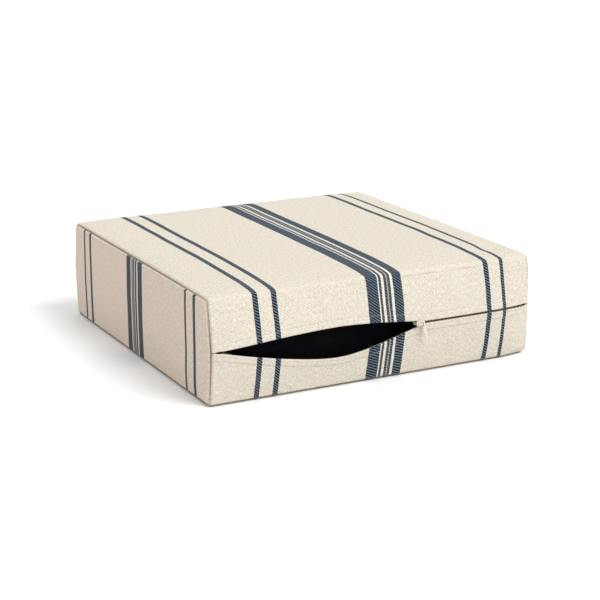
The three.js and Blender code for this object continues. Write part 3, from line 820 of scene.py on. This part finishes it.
def cover_cloth(name, thin, band, dye_and_shade):
    """Cotton twill with slubs and woven stripes; painted shade along the sewing, crease and foot, and
    in the sides' dye.
    """
    shader = Shader(name, roughness=0.95, specular=0.12, sheen=0.04)
    cloth = shader.cloth_coordinates()
    parts = shader.node("SeparateXYZ")
    shader.feed(parts.inputs[0], cloth)
    across, along = parts.outputs[0], parts.outputs[1]

    wobble = shader.spread(shader.noise(cloth, 900, (1, 0.5, 1)), 0, 1, -0.0006, 0.0006)
    strand = shader.math("ADD", across, wobble)
    stops = stripe_stops(thin, band)
    warp, crossed = (stripe_ramp(shader, strand, stops, which) for which in (0, 1))

    drift = shader.spread(shader.noise(cloth, 260), 0, 1, -0.12, 0.12)
    lines = shader.math("MULTIPLY_ADD", across, 1 / (TWILL_ACROSS * MM), drift)
    twill = shader.wave(shader.math("MULTIPLY_ADD", along, 1 / (TWILL_ALONG * MM), lines))
    yarns = shader.noise(cloth, 1100, (1, 0.16, 1), detail=1)
    picks = shader.noise(cloth, 1000, (0.13, 1, 1), detail=1)
    slubs = shader.noise(cloth, 330, (1, 0.7, 1), detail=3, roughness=0.65)
    blotches = shader.noise(cloth, 70, detail=5, roughness=0.65)

    crossing = shader.math("MULTIPLY_ADD", picks, 0.35, shader.math("MULTIPLY", twill, 0.8))
    woven = shader.mix(shader.spread(crossing, 0.64, 0.90), warp, crossed)
    grain = shader.math("MULTIPLY_ADD", slubs, 0.6, shader.math("MULTIPLY", yarns, 0.4))
    light = shader.spread(grain, 0.3, 0.7, 0.73, 1.23)
    lightness = shader.node("CombineColor")
    for socket in lightness.inputs[:3]:
        shader.feed(socket, light)
    mottled = shader.mix(1.0, woven, lightness.outputs[0], "MULTIPLY")
    tone = shader.spread(blotches, 0.36, 0.64)
    tint = shader.mix(tone, rgba(1.035, 0.985, 0.965), rgba(0.965, 1.0, 0.99))
    # The sides' dye also paints their shade: it makes the side panels darker and warmer than the top.
    dyed_and_shaded = shader.mix(1.0, shader.mix(1.0, mottled, tint, "MULTIPLY"), rgba(*dye_and_shade), "MULTIPLY")
    # Painted shade: within about a millimetre of the sewing, the crease and the foot line the colour
    # turns most of the way to dark brown.
    from_shaded_line = shader.node("Attribute", attribute_name="from_shaded_line").outputs["Fac"]
    shade = shader.spread(from_shaded_line, 0.2 * MM, 1.3 * MM, 0.85, 0.0)
    shader.colour(shader.mix(shade, dyed_and_shaded, rgba(0.33, 0.27, 0.20)))

    height = shader.math("MULTIPLY_ADD", twill, 0.32, shader.math("MULTIPLY", yarns, 0.5))
    height = shader.math("MULTIPLY_ADD", picks, 0.35, height)
    height = shader.math("MULTIPLY_ADD", slubs, 0.8, height)
    shader.bump(height, 0.0006, 0.75)
    return shader.material


def thread_material():
    """Tan sewing thread."""
    shader = Shader("sewing_thread", roughness=0.75, sheen=0.2)
    ply = shader.noise(shader.object_coordinates(), 1500, detail=2)
    shader.colour(shader.mix(ply, rgba(0.44, 0.37, 0.28), rgba(0.60, 0.53, 0.42)))
    shader.bump(ply, 0.0002, 0.6)
    return shader.material


def tape_material():
    """Narrow herringbone tape."""
    shader = Shader("zip_tape_weave", roughness=0.85, sheen=0.15)
    parts = shader.node("SeparateXYZ")
    shader.feed(parts.inputs[0], shader.cloth_coordinates())
    fold = shader.math("PINGPONG", parts.outputs[1], 2.2 * MM)
    lines = shader.math("MULTIPLY", fold, 1 / (1.1 * MM))
    weave = shader.wave(shader.math("MULTIPLY_ADD", parts.outputs[0], 1 / (0.9 * MM), lines))
    shader.colour(shader.mix(weave, rgba(0.50, 0.42, 0.31), rgba(0.68, 0.60, 0.47)))
    shader.bump(weave, 0.0002, 0.8)
    return shader.material


def nylon_material():
    """Tan nylon coil."""
    shader = Shader("zip_nylon", roughness=0.38)
    wear = shader.noise(shader.object_coordinates(), 300, detail=3)
    shader.colour(shader.mix(wear, rgba(0.42, 0.33, 0.22), rgba(0.60, 0.50, 0.36)))
    shader.feed(shader.surface.inputs["Roughness"], shader.spread(wear, 0.2, 0.8, 0.3, 0.5))
    shader.bump(wear, 0.0001, 0.4)
    return shader.material


def enamel_material():
    """Cream enamel over cast metal, a little rubbed."""
    shader = Shader("zip_enamel_paint", roughness=0.35, coat=0.35)
    flow = shader.noise(shader.object_coordinates(), 260, detail=3)
    rubbed = shader.noise(shader.object_coordinates(), 900, detail=4, roughness=0.7)
    rubbed = shader.spread(rubbed, 0.55, 0.75)
    shader.colour(shader.mix(rubbed, rgba(0.66, 0.60, 0.52), rgba(0.55, 0.50, 0.43)))
    shader.feed(shader.surface.inputs["Roughness"], shader.spread(flow, 0.3, 0.7, 0.28, 0.46))
    shader.bump(flow, 0.0002, 0.35)
    return shader.material


def stop_material():
    """Dull brass of the zip's stops."""
    shader = Shader("zip_stop_metal", roughness=0.45, metallic=1.0)
    brushed = shader.noise(shader.object_coordinates(), 700, (1, 1, 6), detail=3)
    shader.colour(shader.mix(brushed, rgba(0.09, 0.075, 0.05), rgba(0.16, 0.13, 0.09)))
    shader.feed(shader.surface.inputs["Roughness"], shader.spread(brushed, 0.3, 0.7, 0.38, 0.6))
    shader.bump(brushed, 0.0001, 0.4)
    return shader.material


def casing_material():
    """Plain black cotton casing with a little lint."""
    shader = Shader("casing_black_cloth", roughness=1.0, specular=0.05)
    fold = shader.noise(shader.object_coordinates(), 40, detail=3)
    weave = shader.noise(shader.object_coordinates(), 1500, detail=1)
    lint = shader.noise(shader.object_coordinates(), 420, detail=4, roughness=0.75)
    dark = shader.mix(fold, rgba(0.0012, 0.0012, 0.0015), rgba(0.0035, 0.0035, 0.0045))
    shader.colour(shader.mix(shader.spread(lint, 0.62, 0.8), dark, rgba(0.010, 0.010, 0.011)))
    shader.bump(shader.math("MULTIPLY_ADD", weave, 0.4, fold), 0.0008, 0.7)
    return shader.material


def wadding_material():
    """Polyester wadding."""
    shader = Shader("wadding_fibres", roughness=1.0, specular=0.1, sheen=0.3)
    tufts = shader.noise(shader.object_coordinates(), 90, detail=6, roughness=0.7)
    fibres = shader.noise(shader.object_coordinates(), 900, (1, 0.3, 1), detail=3)
    shader.colour(shader.mix(tufts, rgba(0.72, 0.71, 0.68), rgba(0.88, 0.87, 0.85)))
    shader.bump(shader.math("MULTIPLY_ADD", fibres, 0.4, tufts), 0.002, 0.8)
    return shader.material


def foam_material():
    """Open-cell foam."""
    shader = Shader("foam_cells", roughness=1.0, specular=0.1)
    cells = shader.node("TexVoronoi")
    shader.feed(cells.inputs["Vector"], shader.object_coordinates())
    cells.inputs["Scale"].default_value = 900
    pores = cells.outputs["Distance"]
    age = shader.noise(shader.object_coordinates(), 12, detail=3)
    pale = shader.mix(age, rgba(0.78, 0.72, 0.42), rgba(0.84, 0.79, 0.52))
    shader.colour(shader.mix(shader.spread(pores, 0.2, 0.7), rgba(0.6, 0.54, 0.3), pale))
    shader.bump(pores, 0.0006, 0.8)
    return shader.material


def floor_material():
    """Plain white studio floor."""
    shader = Shader("studio_floor", roughness=0.9, specular=0.0)
    grain = shader.noise(shader.object_coordinates(), 8, detail=2)
    shader.colour(shader.mix(grain, rgba(0.875, 0.875, 0.875), rgba(0.885, 0.885, 0.885)))
    return shader.material


# ---------------------------------------------------------------- the cover and the zip

top_cloth = cover_cloth("cover_twill", TOP_THIN_STRIPES, TOP_BAND, dye_and_shade=(1.0, 0.995, 0.99))
# The side panels' copy of the cloth is darker and warmer than the top's: painted shade of the sides.
shaded_side_cloth = cover_cloth("cover_twill_shaded_sides", SIDE_THIN_STRIPES, SIDE_BAND, dye_and_shade=(1.03, 0.945, 0.925))
thread = thread_material()
tape_cloth = tape_material()
nylon = nylon_material()
enamel = enamel_material()
metal = stop_material()

for up, word, node in ((1, "upper", "top_panel"), (-1, "lower", "bottom_panel")):
    wrap, wrap_outer = wrap_piece(f"cover_{word}_wrap", up, top_cloth)
    stitches = stitch_row(f"{word}_hem_stitches", wrap_outer, thread)
    tape = zip_tape_piece(f"{word}_woven_tape", up, tape_cloth)
    coil = zip_coil_piece(f"{word}_nylon_coil", up, nylon)
    for piece, slot in (
        (wrap, "cover_cloth"),
        (stitches, "cover_cloth"),
        (tape, "zip_tape"),
        (coil, "zip_coil"),
    ):
        bend_with_lip(piece)
    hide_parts(node)
    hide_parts(f"{word}_zip_tape")
    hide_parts(f"{word}_zip_coil")

knot = thread_knot("corner_thread_knot", thread)
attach(knot, "cover")

for side, word in ((-1, "left"), (1, "right")):
    panel = side_piece(f"cover_{word}_side", side, shaded_side_cloth)
    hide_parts(f"{word}_side_panel")

for node, finish in (
    ("zip_slider", enamel),
    ("zip_pull_tab", enamel),
    ("upper_top_stop", metal),
    ("lower_top_stop", metal),
    ("bottom_stop", metal),
):
    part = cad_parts[node]
    for holder in part.material_slots:
        holder.material = finish
    bevel = part.modifiers.new("bevel", "BEVEL")
    bevel.width = 0.25 * MM
    bevel.segments = 3
    bevel.limit_method = "ANGLE"
    bevel.harden_normals = True

# ---------------------------------------------------------------- the insert

CASING_SWELL = 5  # how far the casing may puff up, in mm; it starts this much smaller
casing_low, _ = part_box("casing_lower")
_, casing_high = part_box("casing_upper")
casing = padded_block(
    "insert_casing",
    casing_high.x / MM - CASING_SWELL / 2,
    (casing_high.y - MIDDLE_Y) / MM - CASING_SWELL,
    casing_low.z / MM + CASING_SWELL,
    casing_high.z / MM - CASING_SWELL,
    16,
    casing_material(),
)
swell(casing, CASING_SWELL)
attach(casing, "cover")
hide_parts("casing_upper", "casing_lower")

for node, name, finish, slot in (
    ("fibre_wrap", "wadding_block", wadding_material(), "wadding"),
    ("foam_core", "foam_block", foam_material(), "foam"),
):
    low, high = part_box(node)
    half_depth = (high.y - MIDDLE_Y) / MM
    block = padded_block(name, high.x / MM, half_depth, low.z / MM, high.z / MM, 10, finish)
    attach(block, "cover")
    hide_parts(node)

# ---------------------------------------------------------------- floor, light and camera

bpy.ops.mesh.primitive_plane_add(size=60, location=(0, 0, -0.0004))
floor = bpy.context.object
floor.name = "floor"
floor.data.materials.append(floor_material())

world = bpy.data.worlds.new("studio")
world.use_nodes = True
world.node_tree.nodes["Background"].inputs["Color"].default_value = (1, 1, 1, 1)
world.node_tree.nodes["Background"].inputs["Strength"].default_value = 0.76
bpy.context.scene.world = world

for name, energy, spread, towards in (
    ("key", 1.9, 32, (0.325, -0.562, 0.761)),
    ("overhead_fill", 0.45, 90, (0.0, 0.0, 1.0)),
):
    light_data = bpy.data.lights.new(name, "SUN")
    light_data.energy = energy
    light_data.angle = math.radians(spread)
    light = bpy.data.objects.new(name, light_data)
    light.rotation_euler = Vector(towards).to_track_quat("Z", "Y").to_euler()
    bpy.context.scene.collection.objects.link(light)

camera_data = bpy.data.cameras.new("camera")
camera_data.lens = 94.64
camera_data.sensor_width = 36
camera = bpy.data.objects.new("camera", camera_data)
camera.location = (-1.0349, -1.9962, 0.6909)
camera.rotation_euler = (math.radians(90 - 15.88), 0, math.radians(-27.62))
bpy.context.scene.collection.objects.link(camera)
bpy.context.scene.camera = camera
bpy.context.scene.view_settings.view_transform = "Standard"
